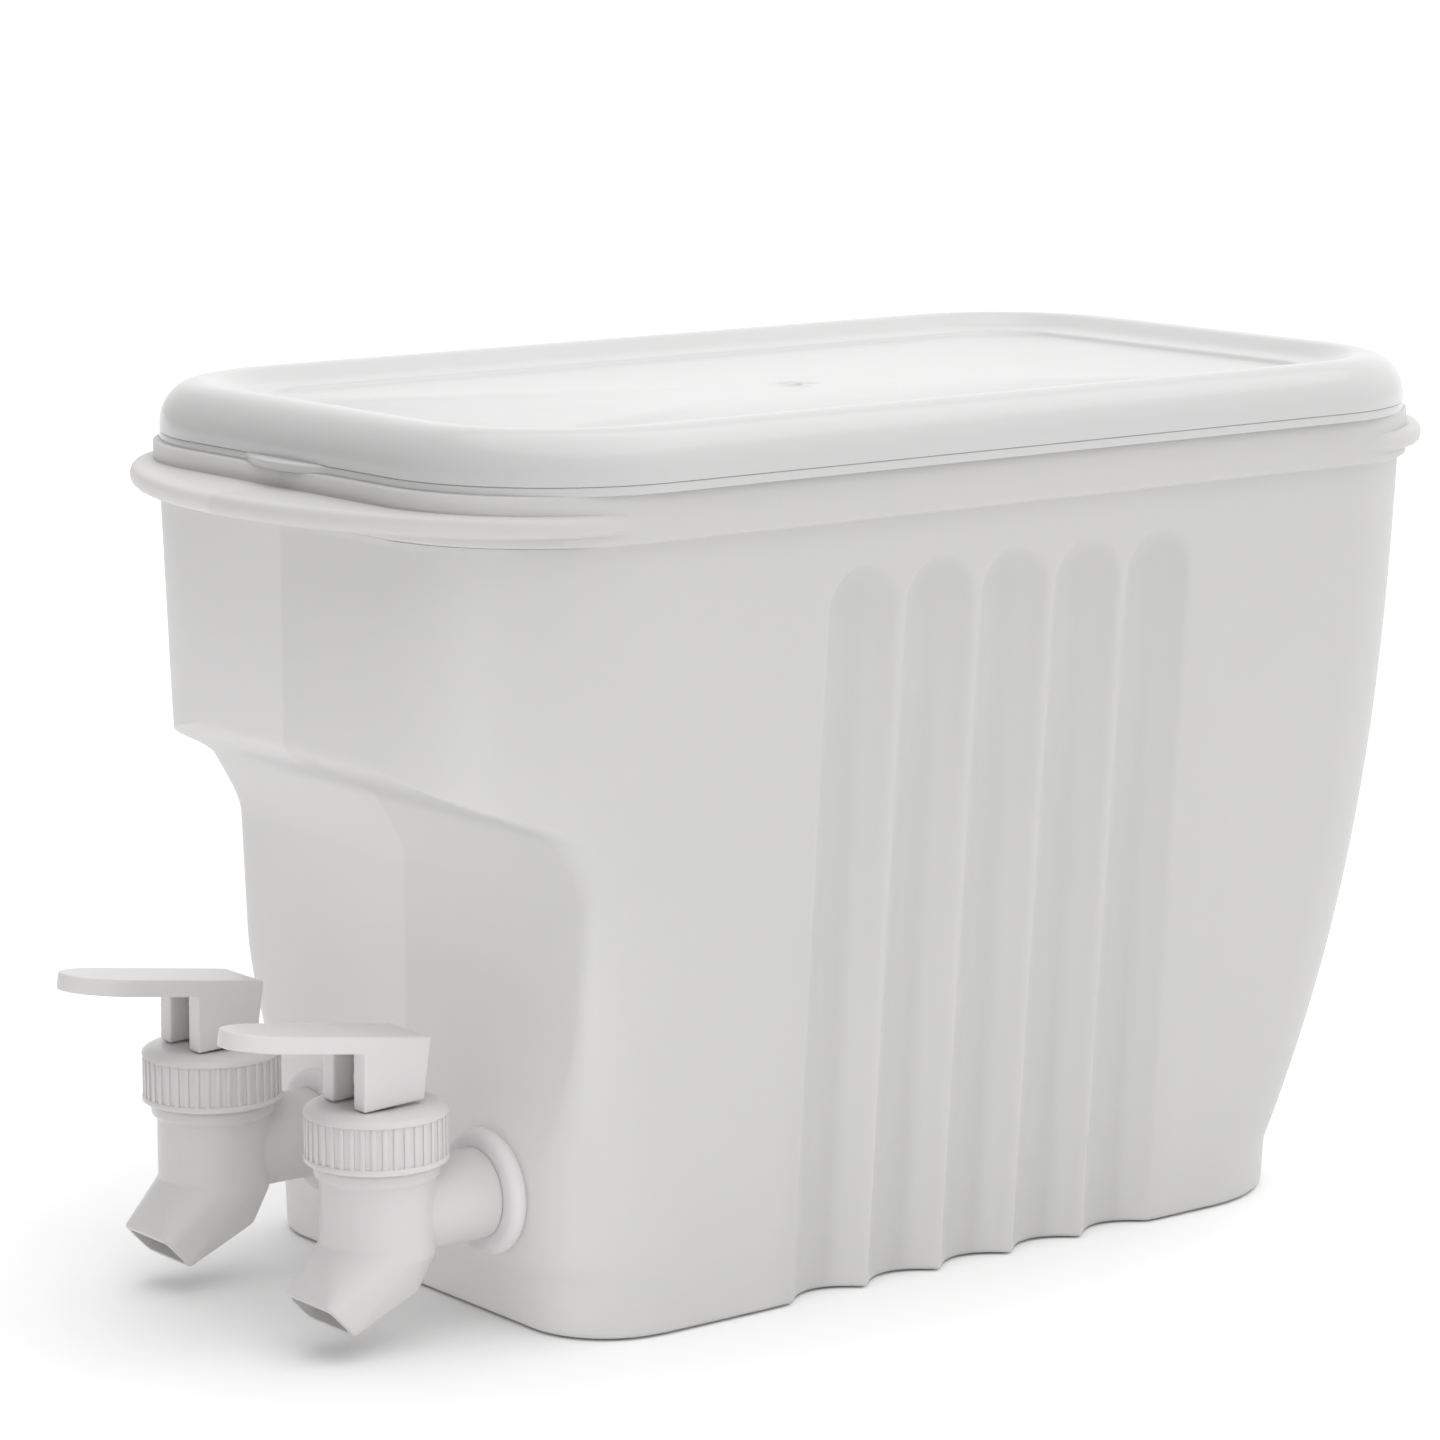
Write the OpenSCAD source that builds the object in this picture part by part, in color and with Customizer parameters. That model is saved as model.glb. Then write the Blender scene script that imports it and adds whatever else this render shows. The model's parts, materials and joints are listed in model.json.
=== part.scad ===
// Drink tank with a lift-off lid and two press-lever taps, in millimetres.
// +Z is up, the taps face -Y, the long sides face +X and -X.
// The origin is the centre of the tank's base face.

/* [Tank] */
// Width of the tank at its base
base_width = 141; // [120:1:170]
// Width of the tank just below the rim
body_width = 167; // [140:1:190]
// Distance from the origin to the foot at the tap end
foot_front = 117.5; // [100:0.5:130]
// Distance from the origin to the foot at the plain end
foot_back = 119; // [100:0.5:130]
// How much the plain end leans out between foot and rim
back_lean = 31; // [0:0.5:40]
// How far the upper body stands out over the tap recess
overhang = 32.5; // [10:0.1:40]
// Corner radius of the upper body at the tap end
top_r = 43; // [30:1:50]
// Radius of the recess's upright edges
edge_r = 9; // [4:0.5:20]
// Height of the underside of the rim band
rim_z = 187.7; // [160:0.1:220]
// Wall thickness
wall = 2; // [1.4:0.1:3]
// Floor thickness
floor_t = 3; // [2:0.1:5]
// Distance between neighbouring flutes
flute_pitch = 23; // [16:0.5:30]
// Depth of a flute at the base
flute_depth = 6; // [2:0.1:8]
// Height of the flutes' arched tops
flute_top = 177; // [120:1:182]

/* [Lid] */
// Lid length from front to back
lid_length = 300; // [250:1:340]
// Lid width
lid_width = 174; // [150:1:200]
// Corner radius of the lid
lid_radius = 45; // [30:1:60]
// Height of the lid's lower edge
lid_z = 199; // [170:0.1:230]

/* [Taps] */
// Half the distance between the two taps
tap_x = 35; // [30:0.5:45]
// How far each tap's upright axis stands in front of the origin
tap_y = 151; // [140:0.5:165]
// Height of the tap's inlet axis
tap_z = 31; // [28:0.5:40]
// Radius of the tap's barrel
barrel_r = 13.3; // [12:0.1:16]
// Radius of the cap nut over its ribs
cap_r = 16.8; // [15:0.1:19]
// Height of the lever's pivot
pivot_z = 62.5; // [60:0.1:70]
// Nose-up angle of the lever at rest
lever_rest = 8.5; // [4:0.1:12]
// Reach of the lever in front of its pivot
lever_reach = 42.9; // [30:0.1:55]
// Width of the lever
lever_width = 17.2; // [12:0.1:22]

/* [Hidden] */
wall_y = -(foot_front + 1.1);
lid_l = lid_length / 2;
lid_b = lid_width / 2;
neck_in = 3.4;
neck_t = 2.2;
neck_top = 204.5;
plug_in = neck_in + neck_t + 0.4;
cap_z0 = 43.9;
cap_z1 = 57.4;
chamber_z = 25.5;

// ---- shape of the tank -------------------------------------------------

function ease(a, b, z) = let (t = min(1, max(0, (z - a) / (b - a)))) t * t * (3 - 2 * t);
function half_w(z) = base_width / 2 + (body_width - base_width) / 2 * min(1, z / rim_z);
function front_y(z) = -(foot_front + 1.1 * ease(13, 15, z)
    + overhang * (0.34 * ease(103, 130, z) + 0.66 * ease(119, 135, z)));
function bow(z) = 2 * ease(118, 133, z);
function back_y(z) = foot_back + back_lean * (1 - pow(1 - min(1, max(0, (z - 12) / 172)), 2.6));
function back_r(z) = 37 + z / 185;
function flute_hw(z) = flute_pitch / 2 * (0.895 + 0.09 * (1 - z / flute_top));
function flute_d(u, z) = let (arch = max(0, z - flute_top + 10.6) / 10.6)
    flute_depth * (0.7 + 0.3 * (1 - z / flute_top)) * max(0, 1 - u * u - arch * arch);

// One level of the tank's outline, o millimetres inside its surface.
function fluted_side(b, z) = [for (k = [-2:2], u = [-1, -0.5, 0, 0.5, 1])
    [b - flute_d(u, z), k * flute_pitch + flute_hw(z) * u]];
function corner(cx, cy, r, a0) = [for (a = [a0:15:a0 + 90]) [cx + r * cos(a), cy + r * sin(a)]];
// Corner at the tap end, from the side to the front: the upper body's arc, which the recess
// cuts off below the overhang with a smaller edge radius e. The foot has its own, larger one.
function tap_corner(b, z, o) = let (r = top_r - o, top_y = 2 - foot_front - 1.1 - overhang,
        e = edge_r + (22 - edge_r) * (1 - ease(30, 75, z)), fy = front_y(z) + bow(z) + e,
        cy = max(top_y + top_r, fy + 3.5), dy = fy - cy,
        dx = sqrt(max(0, pow(top_r - e, 2) - dy * dy)), t = atan2(dy, dx))
    z > 134 ? [for (a = [0:15:90]) [b - r + r * cos(a), top_y + top_r - r * sin(a)]]
    : concat([for (k = [0:3]) [b - r + r * cos(t * k / 3), cy + r * sin(t * k / 3)]],
        [for (k = [1:3]) let (a = t - (90 + t) * k / 3)
            [b - r + dx + (e - o) * cos(a), fy + (e - o) * sin(a)]]);
function ring(z, o) = let (b = half_w(z) - o, f = front_y(z) + o, k = back_y(z) - o,
        c = tap_corner(b, z, o), m = len(c) - 1, xf = c[m].x / 2, rb = back_r(z) - o, bb = 2,
        s = fluted_side(b, z), n = len(s) - 1)
    concat(s,
        corner(b - rb, k - bb - rb, rb, 0),
        [[(b - rb) / 2, k - bb / 4], [0, k], [(rb - b) / 2, k - bb / 4]],
        corner(rb - b, k - bb - rb, rb, 90),
        [for (i = [n:-1:0]) [-s[i].x, s[i].y]],
        [for (p = c) [-p.x, p.y]],
        [[-xf, f + bow(z) / 4], [0, f], [xf, f + bow(z) / 4]],
        [for (i = [m:-1:0]) c[i]]);

// Closed solid through a list of outlines that each hold n points.
module skin(rings) {
    n = len(rings[0]);
    m = len(rings);
    polyhedron(
        points = [for (r = rings, p = r) p],
        faces = concat(
            [[for (i = [0:n - 1]) i]],
            [for (j = [0:m - 2], i = [0:n - 1]) let (a = j * n + i, b = j * n + (i + 1) % n)
                each [[a, a + n, b + n], [a, b + n, b]]],
            [[for (i = [n - 1:-1:0]) (m - 1) * n + i]]));
}
function at_z(flat, z) = [for (p = flat) [p.x, p.y, z]];

outer_levels = [1, 13, 15, 30, 46, 58, 70, 82, 95, 101, 106, 111, 116, 120, 123, 126, 129, 132, 135,
    145, 156, 166.4, 169.5, 172, 174.2, 176, 177, rim_z + 1];
inner_levels = [14, 16, 30, 46, 58, 70, 82, 95, 101, 106, 111, 116, 120, 123, 126, 129, 132, 135,
    145, 156, 166.4, 169.5, 172, 174.2, 176, 177, rim_z - 1];

module rounded(b, l, r) {
    square([2 * (b - r), 2 * l], center = true);
    square([2 * b, 2 * (l - r)], center = true);
    for (x = [-1, 1], y = [-1, 1]) translate([x * (b - r), y * (l - r)]) circle(r = r, $fn = 96);
}
module lid_outline(o) rounded(lid_b - o, lid_l - o, lid_radius - o);

// Grip ear at one end of the rim: half an ellipse.
module ear(s) linear_extrude(5)
    polygon([for (a = [0:5:180]) [85.2 * cos(a), s * (116 + 55 * sin(a))]]);

module divider() translate([-1, 0, 0]) rotate([90, 0, 90]) linear_extrude(2)
    polygon(concat([for (z = [1.5, 14, 30, 58, 82, 101, 106, 111, 116, 120, 123, 126, 129, 132, 135, 160, 184])
            [front_y(z) + 1, z]],
        [for (z = [184, 160, 130, 100, 80, 60, 40, 25, 12, 1.5]) [back_y(z) - 1, z]]));

// Flutes, leaning walls and curved ends are all facets, so the tank is made as one mesh:
// resize to nothing keeps every size and only joins its children.
module tank() color([0.94, 0.94, 0.93]) resize([0, 0, 0]) union() {
    difference() {
        union() {
            skin(concat([at_z(ring(0, 1), 0)], [for (z = outer_levels) at_z(ring(z, 0), z)]));
            translate([0, 0, rim_z]) linear_extrude(11) rounded(85.2, 151.3, 44);
            translate([0, 0, 190]) ear(-1);
            translate([0, 0, 190]) ear(1);
            translate([0, 0, rim_z]) linear_extrude(neck_top - rim_z) lid_outline(neck_in);
        }
        skin(concat([at_z(ring(floor_t, wall + 1.5), floor_t)],
            [for (z = inner_levels) at_z(ring(z, wall), z)]));
        translate([0, 0, rim_z - 1.01]) linear_extrude(20) lid_outline(neck_in + neck_t);
        for (x = [-tap_x, tap_x]) translate([x, wall_y - 2, tap_z]) rotate([-90, 0, 0])
            cylinder(r = 8.3, h = 8, $fn = 64);
    }
    divider();
}

// ---- lid -------------------------------------------------------------------

function lid_ring(o, z) = let (b = lid_b - o, l = lid_l - o, r = lid_radius - o)
    at_z(concat(corner(b - r, l - r, r, 0), corner(r - b, l - r, r, 90),
        corner(r - b, r - l, r, 180), corner(b - r, r - l, r, 270)), z);

module lid_groove(o1, o2, z1) translate([0, 0, lid_z - 1]) linear_extrude(z1 - lid_z + 1)
    difference() {
        lid_outline(o1);
        lid_outline(o2);
    }

module lid() color([0.96, 0.96, 0.95]) difference() {
    union() {
        skin([for (p = [[0.6, 0], [0, 0.6], [0, 4.5], [0.6, 7.5], [2.2, 10.4], [4.8, 12.8],
                [8.2, 14], [12, 14], [15, 13], [19, 11.4], [22, 10.7], [25, 10.4], [27, 9.3],
                [29, 9]]) lid_ring(p[0], lid_z + p[1])]);
        translate([0, 0, lid_z - 4]) linear_extrude(5) difference() {
            lid_outline(plug_in);
            lid_outline(plug_in + 2);
        }
        for (s = [-1, 1]) translate([0, s * (lid_l - 34), lid_z]) cylinder(r = 38, h = 2.3, $fn = 96);
    }
    lid_groove(2.2, plug_in, lid_z + 8);
    lid_groove(plug_in + 2, 17, lid_z + 9.6);
    translate([0, 0, lid_z - 1]) linear_extrude(8) lid_outline(plug_in + 2);
    translate([0, 0, lid_z + 8.6]) cylinder(r = 1.6, h = 5, $fn = 32);
}

// ---- tap: drawn with its upright axis on the origin -------------------------

module at_tap(s) translate([s * tap_x, -tap_y, 0]) children();
module inlet_axis(y0) translate([0, y0, tap_z]) rotate([-90, 0, 0]) children();

// Block along the spout, w wide and h high, from a to b millimetres down it.
module spout_block(w, h, r, a, b) translate([0, -16.2, 9.8]) rotate([-47, 0, 0])
    translate([0, 0, -b]) linear_extrude(b - a) {
        square([w - 2 * r, h], center = true);
        square([w, h - 2 * r], center = true);
        for (x = [-1, 1], y = [-1, 1]) translate([x * (w / 2 - r), y * (h / 2 - r)])
            circle(r = r, $fn = 24);
    }

module tap_body() color([0.9, 0.9, 0.9]) difference() {
    union() {
        translate([0, 0, 24]) cylinder(r = barrel_r, h = 16.2, $fn = 72);
        hull() {
            translate([0, 0, 22]) cylinder(r = barrel_r, h = 3, $fn = 48);
            translate([0, 0.5, 13]) cylinder(r = 9, h = 2, $fn = 48);
            spout_block(20.4, 11, 2.5, -3, 0);
        }
        translate([0, 0, 40.1]) cylinder(r = 14.6, h = 3.5, $fn = 72);
        translate([0, 0, 43.5]) cylinder(r = 13.5, h = 10.4, $fn = 72);
        inlet_axis(0) cylinder(r = 10.75, h = tap_y + wall_y - 4.5, $fn = 72);
        inlet_axis(0) cylinder(r = 8, h = 48, $fn = 72);
    }
    translate([0, 0, chamber_z]) cylinder(r = 10.3, h = 40, $fn = 64);
    translate([0, 0, 15]) cylinder(r = 3.9, h = 12, $fn = 48);
    inlet_axis(4) cylinder(r = 5.2, h = 60, $fn = 48);
    translate([0, 0, 18.5]) rotate([114, 0, 0]) cylinder(r = 3.6, h = 14, $fn = 48);
    spout_block(17, 7.6, 1.5, -7, 3);
}

function ribs(n, r0, r1) = [for (i = [0:n - 1], q = [0:3])
    let (a = (i + [0.06, 0.18, 0.6, 0.72][q]) * 360 / n, r = [r0, r1, r1, r0][q]) [r * cos(a), r * sin(a)]];

module cap_nut() color([0.9, 0.9, 0.9]) difference() {
    union() {
        translate([0, 0, cap_z0 + 0.4]) linear_extrude(10.9)
            polygon(ribs(40, cap_r - 0.9, cap_r - 0.15));
        translate([0, 0, cap_z0]) rotate_extrude($fn = 96)
            polygon([[0, 0], [cap_r, 0], [cap_r, 1.2], [cap_r - 0.7, 1.6], [cap_r - 0.7, 10.7],
                [cap_r, 11.1], [cap_r - 0.2, 11.9], [cap_r - 2.6, 13.5], [0, 13.5]]);
    }
    translate([0, 0, cap_z0 - 1]) cylinder(r = 13.7, h = 11.2, $fn = 72);
    cylinder(r = 4.65, h = 80, $fn = 48);
}

module stem() color([0.85, 0.85, 0.84]) {
    translate([0, 0, 29.2]) cylinder(r = 6, h = 4, $fn = 48);
    translate([0, 0, 33]) cylinder(r = 8.2, h = 2, $fn = 64);
    translate([0, 0, 34]) cylinder(r = 4.2, h = 22.5, $fn = 48);
    intersection() {
        translate([0, 0, 50]) cylinder(r = 4.2, h = pivot_z - 50, $fn = 48);
        translate([-3.75, -10, 50]) cube([7.5, 20, 30]);
    }
    translate([-3.75, 0, pivot_z]) rotate([0, 90, 0]) cylinder(r = 3.8, h = 7.5, $fn = 48);
    translate([-6.3, 0, pivot_z]) rotate([0, 90, 0]) cylinder(r = 2, h = 12.6, $fn = 48);
}

module valve_plug() color([0.8, 0.8, 0.8]) difference() {
    translate([0, 0, chamber_z + 0.3]) rotate_extrude($fn = 64)
        polygon([[0, 0], [5, 0], [7.6, 2.4], [7.6, 6.9], [0, 6.9]]);
    translate([0, 0, 29.1]) cylinder(r = 6.05, h = 5, $fn = 48);
}

module stem_seal() color([0.8, 0.8, 0.8]) difference() {
    translate([0, 0, 52.4]) cylinder(r = 10.2, h = 1.5, $fn = 64);
    cylinder(r = 4.28, h = 80, $fn = 48);
}

// Coil spring: a wire circle of six points swept along a helix.
spring_z = [35.9, 51.6];
module spring() color([0.75, 0.76, 0.78]) skin([for (i = [0:88]) let (a = i * 22.5, t = i / 88)
    [for (w = [0:60:300]) [(6.6 + 0.6 * cos(w)) * cos(a), (6.6 + 0.6 * cos(w)) * sin(a),
        spring_z[0] + t * (spring_z[1] - spring_z[0]) - 0.6 * sin(w)]]]);

// The lever is drawn level about its pivot, then turned nose up.
module lever() color([0.92, 0.92, 0.92])
    translate([0, 0, pivot_z]) rotate([-lever_rest, 0, 0]) {
        w = lever_width / 2;
        translate([0, 0, 7.4]) linear_extrude(4.1) polygon(concat([[-w, 8.1], [-w, -28.4]],
            [for (a = [186:6:354]) [w * cos(a), -28.4 + (lever_reach - 28.4) * sin(a)]],
            [[w, -28.4], [w, 8.1]]));
        for (s = [0, 1]) mirror([s, 0, 0]) difference() {
            translate([4.1, 0, 0]) rotate([90, 0, 90]) linear_extrude(w - 4.1)
                polygon([[-8.1, -6.1], [8, -3], [8.1, 8], [-10.1, 8]]);
            rotate([0, 90, 0]) cylinder(r = 2.08, h = 6.7, $fn = 48);
        }
    }

// Rubber washer with a round outer edge, t thick and r in outer radius.
module washer(r, t, y0) inlet_axis(y0) rotate_extrude($fn = 72) {
    translate([8.3, 0]) square([r - t / 2 - 8.3, t]);
    translate([r - t / 2, t / 2]) circle(r = t / 2, $fn = 32);
}
module outer_washer() color([0.95, 0.95, 0.95]) washer(15, 4.5, tap_y + wall_y - 4.5);
module inner_washer() color([0.95, 0.95, 0.95]) washer(14, 2.5, tap_y + wall_y + wall);
module lock_nut() color([0.9, 0.9, 0.9]) inlet_axis(tap_y + wall_y + wall + 2.5) difference() {
    union() {
        rotate([0, 0, 30]) cylinder(r = 15.2, h = 8, $fn = 6);
        cylinder(r = 14, h = 1.5, $fn = 72);
    }
    translate([0, 0, -1]) cylinder(r = 8.1, h = 10, $fn = 72);
}

module tap_body_left() at_tap(-1) tap_body();
module tap_body_right() at_tap(1) tap_body();
module cap_nut_left() at_tap(-1) cap_nut();
module cap_nut_right() at_tap(1) cap_nut();
module lever_left() at_tap(-1) lever();
module lever_right() at_tap(1) lever();
module stem_left() at_tap(-1) stem();
module stem_right() at_tap(1) stem();
module valve_plug_left() at_tap(-1) valve_plug();
module valve_plug_right() at_tap(1) valve_plug();
module stem_seal_left() at_tap(-1) stem_seal();
module stem_seal_right() at_tap(1) stem_seal();
module spring_left() at_tap(-1) spring();
module spring_right() at_tap(1) spring();
module outer_washer_left() at_tap(-1) outer_washer();
module outer_washer_right() at_tap(1) outer_washer();
module inner_washer_left() at_tap(-1) inner_washer();
module inner_washer_right() at_tap(1) inner_washer();
module lock_nut_left() at_tap(-1) lock_nut();
module lock_nut_right() at_tap(1) lock_nut();

tank();
lid();
tap_body_left();
tap_body_right();
cap_nut_left();
cap_nut_right();
lever_left();
lever_right();
stem_left();
stem_right();
valve_plug_left();
valve_plug_right();
stem_seal_left();
stem_seal_right();
spring_left();
spring_right();
outer_washer_left();
outer_washer_right();
inner_washer_left();
inner_washer_right();
lock_nut_left();
lock_nut_right();
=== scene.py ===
# %% [markdown]
# A drink tank with a lift-off lid and two press-lever taps.
# The real tank is injection-moulded in two thin plastic shells, and its taps are small assemblies of moulded
# parts that are screwed through the wall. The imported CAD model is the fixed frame: it says where each part is
# and how it moves. This script builds the visible shapes around it, with the soft edges, thin rims and fine
# surface grain that moulded plastic has, and it prints what it makes as it goes.

# %% Load the frame
import json
import math

import bmesh
import bpy
import numpy as np
from mathutils import Matrix, Vector

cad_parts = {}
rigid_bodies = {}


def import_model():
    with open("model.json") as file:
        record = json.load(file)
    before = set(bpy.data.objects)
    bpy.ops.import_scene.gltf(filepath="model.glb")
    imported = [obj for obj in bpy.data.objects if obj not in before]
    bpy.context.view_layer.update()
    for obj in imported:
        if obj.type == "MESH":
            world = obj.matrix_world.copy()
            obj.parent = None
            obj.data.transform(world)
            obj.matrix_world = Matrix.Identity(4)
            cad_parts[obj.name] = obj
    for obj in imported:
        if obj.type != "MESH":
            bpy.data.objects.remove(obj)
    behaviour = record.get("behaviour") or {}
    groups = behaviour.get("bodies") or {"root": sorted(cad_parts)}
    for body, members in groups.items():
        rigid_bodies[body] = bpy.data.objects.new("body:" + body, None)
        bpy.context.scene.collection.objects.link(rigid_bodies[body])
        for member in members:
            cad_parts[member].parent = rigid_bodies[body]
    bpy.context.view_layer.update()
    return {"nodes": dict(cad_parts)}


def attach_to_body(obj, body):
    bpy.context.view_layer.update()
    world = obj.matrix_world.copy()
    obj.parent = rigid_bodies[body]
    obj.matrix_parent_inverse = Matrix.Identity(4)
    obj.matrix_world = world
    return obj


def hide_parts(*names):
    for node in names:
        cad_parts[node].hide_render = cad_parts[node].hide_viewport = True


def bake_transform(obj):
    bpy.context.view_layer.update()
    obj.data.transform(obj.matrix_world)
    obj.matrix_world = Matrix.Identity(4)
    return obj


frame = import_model()

# %% [markdown]
# The camera comes first, because it settles what can be seen. It is a long lens a little over a metre away,
# standing in front of the taps and to the right of them, and looking slightly down on the lid. Its direction is
# given as two angles, from which the three axes of a camera follow: right, up, and back out of the picture.

# %% Camera
AZIMUTH, ELEVATION = math.radians(51.99), math.radians(10.28)
STAND = Vector((0.9446, -0.7623, 0.3440))
FOCAL_LENGTH, FILM_WIDTH = 123.49, 36.0
right = Vector((math.cos(AZIMUTH), math.sin(AZIMUTH), 0.0))
back = Vector((math.cos(ELEVATION) * right.y, -math.cos(ELEVATION) * right.x, math.sin(ELEVATION)))
up = back.cross(right)
lens = bpy.data.cameras.new("studio_camera")
lens.sensor_width, lens.lens = FILM_WIDTH, FOCAL_LENGTH
lens.clip_start, lens.clip_end = 0.05, 50.0
camera = bpy.data.objects.new("studio_camera", lens)
camera.matrix_world = Matrix((
    (right.x, up.x, back.x, STAND.x),
    (right.y, up.y, back.y, STAND.y),
    (right.z, up.z, back.z, STAND.z),
    (0, 0, 0, 1)))
bpy.context.scene.collection.objects.link(camera)
bpy.context.scene.camera = camera
print("camera is", round(camera.location.length, 3), "m from the middle of the base")

# %% [markdown]
# Every shape here starts as rings of points. A moulded shell is a stack of closed outlines, one per level, and
# a turned part is the same thing with round outlines. So one helper makes a solid from rings: it joins
# neighbouring rings with four-sided faces, closes both ends, merges points that fall together, and turns the
# whole solid the right way out by looking at the sign of its volume. Sizes are written in millimetres and
# become metres only here.

# %% Solids from rings
MM = 0.001


def solid(name, points, faces, crease=38):
    """A closed mesh object from points in millimetres; edges sharper than crease stay crisp."""
    mesh = bpy.data.meshes.new(name)
    mesh.from_pydata([tuple(p) for p in np.asarray(points, float) * MM], [], faces)
    shape = bmesh.new()
    shape.from_mesh(mesh)
    bmesh.ops.remove_doubles(shape, verts=shape.verts, dist=1e-7)
    if shape.calc_volume(signed=True) < 0:
        bmesh.ops.reverse_faces(shape, faces=shape.faces)
    shape.to_mesh(mesh)
    shape.free()
    soften(mesh, crease)
    piece = bpy.data.objects.new(name, mesh)
    bpy.context.scene.collection.objects.link(piece)
    return piece


def soften(mesh, crease):
    """Smooth shading, with crisp edges only where the surface turns by more than crease degrees."""
    mesh.shade_smooth()
    mesh.set_sharp_from_angle(angle=math.radians(crease))


def loft(name, rings, loop=False, crease=38):
    """A solid through rings that all have the same number of points. With loop, the last joins the first."""
    rings = np.asarray(rings, float)
    m, n, _ = rings.shape
    faces = []
    for j in range(m if loop else m - 1):
        a, b = j * n, (j + 1) % m * n
        faces += [(a + i, a + (i + 1) % n, b + (i + 1) % n, b + i) for i in range(n)]
    if not loop:
        faces += [tuple(range(n))[::-1], tuple(range((m - 1) * n, m * n))]
    return solid(name, rings.reshape(-1, 3), faces, crease)


def turned(name, profile, segments=96, loop=False, crease=38):
    """A solid turned about the upright axis from a profile of (radius, height) points."""
    angle = np.linspace(0, 2 * math.pi, segments, endpoint=False)
    rings = []
    for r, z in profile:
        r = max(r, 1e-5)  # a ring on the axis is a hair wide until solid() merges its points
        rings.append(np.stack([r * np.cos(angle), r * np.sin(angle), np.full(segments, z)], 1))
    return loft(name, rings, loop, crease)


# %% Finishing a mesh
def cooked(piece):
    """Turns a piece with live modifiers into a plain mesh."""
    graph = bpy.context.evaluated_depsgraph_get()
    mesh = bpy.data.meshes.new_from_object(piece.evaluated_get(graph))
    old = piece.data
    piece.modifiers.clear()
    piece.data = mesh
    if old.users == 0:
        bpy.data.meshes.remove(old)
    return piece


def carve(piece, tool, action="DIFFERENCE", crease=38):
    """Cuts a tool out of a piece, or adds it to the piece, and removes the tool."""
    cut = piece.modifiers.new("carve", "BOOLEAN")
    cut.operation, cut.object, cut.solver = action, tool, "MANIFOLD"
    before = len(piece.data.polygons)
    cooked(piece)
    bpy.data.objects.remove(tool)
    soften(piece.data, crease)
    if len(piece.data.polygons) in (0, before):
        print("  careful: nothing changed when carving", piece.name)
    return piece


def placed(piece, turn=None, move=(0, 0, 0)):
    """Turns and moves the mesh itself, so the object stays at the origin."""
    piece.data.transform(Matrix.Translation(Vector(move) * MM) @ (turn or Matrix.Identity(4)))
    return piece


def joined(name, parts, crease=38):
    """Several solids as one mesh under one name."""
    shape = bmesh.new()
    for part in parts:
        shape.from_mesh(part.data)
    mesh = bpy.data.meshes.new(name)
    shape.to_mesh(mesh)
    shape.free()
    for part in parts:
        bpy.data.objects.remove(part)
    soften(mesh, crease)
    piece = bpy.data.objects.new(name, mesh)
    bpy.context.scene.collection.objects.link(piece)
    return piece


def moulded(piece, grain, passes, crease=50):
    """Melts overlapping solids into one skin with small fillets, as a mould gives: grain is in millimetres."""
    melt = piece.modifiers.new("melt", "REMESH")
    melt.mode, melt.voxel_size, melt.adaptivity = "VOXEL", grain * MM, 0.0
    relax = piece.modifiers.new("relax", "SMOOTH")
    relax.factor, relax.iterations = 0.5, passes
    cooked(piece)
    soften(piece.data, crease)
    return piece


# %% [markdown]
# Node trees are drawn with two small helpers. A Wire is the output of a node, and it can be added, multiplied
# and so on like a number, which adds the Math nodes behind the scenes. A Plan is the tree itself, and its
# method put() adds any other node: its type, its settings, and the values or wires of its inputs. The same
# two work for materials and for Geometry Nodes.

# %% Wires and plans
class Wire:
    """One output in a node tree that can be used in sums."""

    def __init__(self, plan, socket):
        self.plan, self.socket = plan, socket

    def _sum(self, action, other, flip=False):
        pair = [other, self] if flip else [self, other]
        return self.plan.put("ShaderNodeMath", {"operation": action}, dict(enumerate(pair)))

    def __add__(self, other): return self._sum("ADD", other)
    def __radd__(self, other): return self._sum("ADD", other, True)
    def __sub__(self, other): return self._sum("SUBTRACT", other)
    def __rsub__(self, other): return self._sum("SUBTRACT", other, True)
    def __mul__(self, other): return self._sum("MULTIPLY", other)
    def __rmul__(self, other): return self._sum("MULTIPLY", other, True)
    def __truediv__(self, other): return self._sum("DIVIDE", other)
    def __rtruediv__(self, other): return self._sum("DIVIDE", other, True)
    def __pow__(self, other): return self._sum("POWER", other)
    def least(self, other): return self._sum("MINIMUM", other)
    def most(self, other): return self._sum("MAXIMUM", other)


class Plan:
    """A node tree while it is being drawn."""

    def __init__(self, tree):
        self.tree = tree
        tree.nodes.clear()

    def put(self, kind, settings=None, inputs=None, out=0):
        node = self.tree.nodes.new(kind)
        for key, value in (settings or {}).items():
            if key == "stops":
                while len(node.color_ramp.elements) > 1:
                    node.color_ramp.elements.remove(node.color_ramp.elements[-1])
                for i, (place, colour) in enumerate(value):
                    stop = node.color_ramp.elements[0] if i == 0 else node.color_ramp.elements.new(place)
                    stop.position, stop.color = place, colour
            else:
                setattr(node, key, value)
        for key, value in (inputs or {}).items():
            if isinstance(value, Wire):
                self.tree.links.new(value.socket, node.inputs[key])
            else:
                node.inputs[key].default_value = value
        self.last = node
        return Wire(self, node.outputs[out]) if node.outputs else node

    def other(self, name):
        """Another output of the node that was put last."""
        return Wire(self, self.last.outputs[name])


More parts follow.
